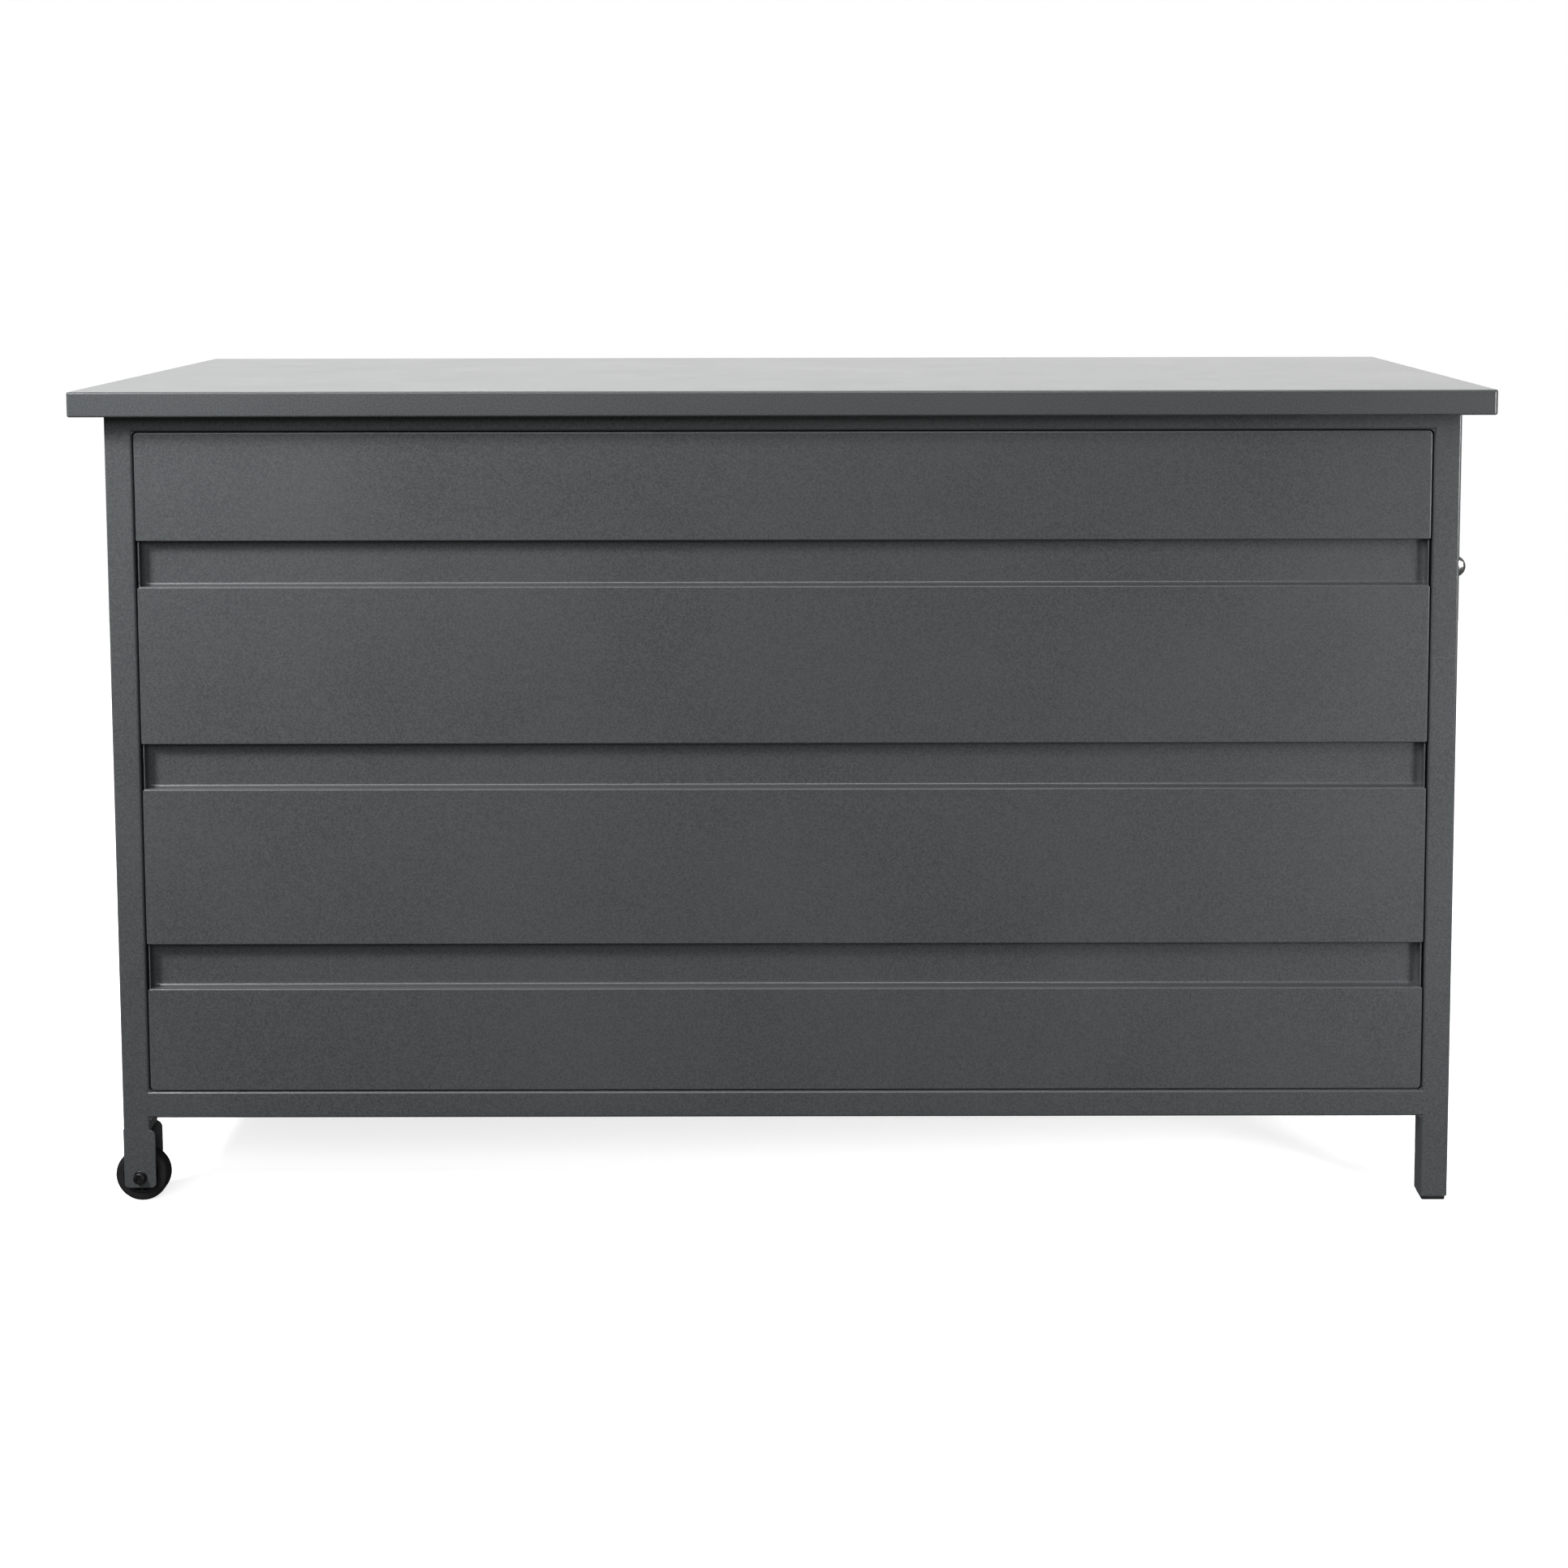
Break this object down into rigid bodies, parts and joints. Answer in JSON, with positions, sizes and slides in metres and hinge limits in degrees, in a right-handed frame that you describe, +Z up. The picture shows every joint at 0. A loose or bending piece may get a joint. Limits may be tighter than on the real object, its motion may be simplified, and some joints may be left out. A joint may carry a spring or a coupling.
{
  "type": "wheeled drawer cabinet",
  "caption": "Low, wide steel drawer cabinet with an overhanging worktop, full-width drawers with recessed finger channels, wheels at one end and a lifting handle at the other.",
  "frame": {"origin": "on the floor, under the middle of the whole box, handle included", "axes": "+Z up, the drawers open towards -Y, +X towards the end with the handle"},
  "size_m": [1.542, 0.6, 0.9],
  "materials": {
    "body_paint": "charcoal grey fine-texture powder coat, satin",
    "slide_zinc": "bright zinc plated, cold formed",
    "stainless": "polished stainless steel",
    "tyre_rubber": "solid black rubber, matt",
    "black_plastic": "moulded black plastic",
    "black_steel": "black oxide screw"
  },
  "bodies": {
    "cabinet": {"leg_front_left": "body_paint", "leg_rear_left": "body_paint", "leg_front_right": "body_paint", "leg_rear_right": "body_paint", "base_rail_front": "body_paint", "base_rail_rear": "body_paint", "base_rail_left": "body_paint", "base_rail_right": "body_paint", "top_rail_front": "body_paint", "top_rail_rear": "body_paint", "top_rail_left": "body_paint", "top_rail_right": "body_paint", "side_panel_left": "body_paint", "side_panel_right": "body_paint", "rear_panel": "body_paint", "base_pan": "body_paint", "worktop": "body_paint", "worktop_bearer_left": "body_paint", "worktop_bearer_middle": "body_paint", "worktop_bearer_right": "body_paint", "slide_1_left_outer": "slide_zinc", "slide_1_right_outer": "slide_zinc", "slide_2_left_outer": "slide_zinc", "slide_2_right_outer": "slide_zinc", "slide_3_left_outer": "slide_zinc", "slide_3_right_outer": "slide_zinc", "slide_4_left_outer": "slide_zinc", "slide_4_right_outer": "slide_zinc", "wheel_fork_front": "body_paint", "wheel_fork_rear": "body_paint", "axle_bolt_front": "black_steel", "axle_bolt_rear": "black_steel", "foot_glide_front": "black_plastic", "foot_glide_rear": "black_plastic", "handle_bar": "stainless", "handle_post_front": "stainless", "handle_post_rear": "stainless"},
    "drawer_1": {"drawer_1_front": "body_paint", "drawer_1_tray": "body_paint"},
    "drawer_1_runners": {"slide_1_left_middle": "slide_zinc", "slide_1_right_middle": "slide_zinc"},
    "drawer_2": {"drawer_2_front": "body_paint", "drawer_2_tray": "body_paint", "drawer_2_channel": "body_paint"},
    "drawer_2_runners": {"slide_2_left_middle": "slide_zinc", "slide_2_right_middle": "slide_zinc"},
    "drawer_3": {"drawer_3_front": "body_paint", "drawer_3_tray": "body_paint", "drawer_3_channel": "body_paint"},
    "drawer_3_runners": {"slide_3_left_middle": "slide_zinc", "slide_3_right_middle": "slide_zinc"},
    "drawer_4": {"drawer_4_front": "body_paint", "drawer_4_tray": "body_paint", "drawer_4_channel": "body_paint"},
    "drawer_4_runners": {"slide_4_left_middle": "slide_zinc", "slide_4_right_middle": "slide_zinc"},
    "wheel_front": {"wheel_front_tyre": "tyre_rubber", "wheel_front_hub": "black_plastic"},
    "wheel_rear": {"wheel_rear_tyre": "tyre_rubber", "wheel_rear_hub": "black_plastic"}
  },
  "joints": [
    {"name": "drawer_1_slide", "type": "slide", "parent": "cabinet", "child": "drawer_1", "axis": [0, -1, 0], "range_m": [0, 0.42]},
    {"name": "drawer_1_runner_slide", "type": "slide", "parent": "cabinet", "child": "drawer_1_runners", "axis": [0, -1, 0], "range_m": [0, 0.21]},
    {"name": "drawer_2_slide", "type": "slide", "parent": "cabinet", "child": "drawer_2", "axis": [0, -1, 0], "range_m": [0, 0.42]},
    {"name": "drawer_2_runner_slide", "type": "slide", "parent": "cabinet", "child": "drawer_2_runners", "axis": [0, -1, 0], "range_m": [0, 0.21]},
    {"name": "drawer_3_slide", "type": "slide", "parent": "cabinet", "child": "drawer_3", "axis": [0, -1, 0], "range_m": [0, 0.42]},
    {"name": "drawer_3_runner_slide", "type": "slide", "parent": "cabinet", "child": "drawer_3_runners", "axis": [0, -1, 0], "range_m": [0, 0.21]},
    {"name": "drawer_4_slide", "type": "slide", "parent": "cabinet", "child": "drawer_4", "axis": [0, -1, 0], "range_m": [0, 0.42]},
    {"name": "drawer_4_runner_slide", "type": "slide", "parent": "cabinet", "child": "drawer_4_runners", "axis": [0, -1, 0], "range_m": [0, 0.21]},
    {"name": "wheel_front_spin", "type": "hinge", "parent": "cabinet", "child": "wheel_front", "pos_m": [-0.7235, -0.255, 0.029], "axis": [0, 1, 0], "continuous": true},
    {"name": "wheel_rear_spin", "type": "hinge", "parent": "cabinet", "child": "wheel_rear", "pos_m": [-0.7235, 0.255, 0.029], "axis": [0, 1, 0], "continuous": true}
  ],
  "couplings": [
    {"joint": "drawer_1_runner_slide", "follows": "drawer_1_slide", "ratio": 0.5},
    {"joint": "drawer_2_runner_slide", "follows": "drawer_2_slide", "ratio": 0.5},
    {"joint": "drawer_3_runner_slide", "follows": "drawer_3_slide", "ratio": 0.5},
    {"joint": "drawer_4_runner_slide", "follows": "drawer_4_slide", "ratio": 0.5}
  ]
}
